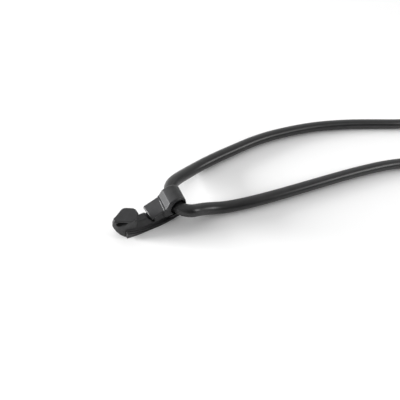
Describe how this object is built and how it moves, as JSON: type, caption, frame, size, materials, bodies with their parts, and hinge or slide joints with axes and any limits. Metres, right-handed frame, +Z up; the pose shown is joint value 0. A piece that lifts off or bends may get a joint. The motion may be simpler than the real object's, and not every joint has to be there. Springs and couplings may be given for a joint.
{
  "type": "silicone cable tie",
  "caption": "Reusable cable tie: an endless round silicone cord held in the eye of a small moulded hook clip.",
  "frame": {"origin": "bottom centre of the hook clip, on the surface that the tie lies on", "axes": "+X along the clip from the hook towards the eye and the loop, +Y across the clip, +Z up"},
  "size_m": [0.127, 0.0393, 0.0081],
  "materials": {
    "clip": "satin black moulded plastic",
    "cord": "satin black silicone"
  },
  "bodies": {
    "root": {"hook_clip": "clip", "cord_loop": "cord"}
  },
  "joints": []
}
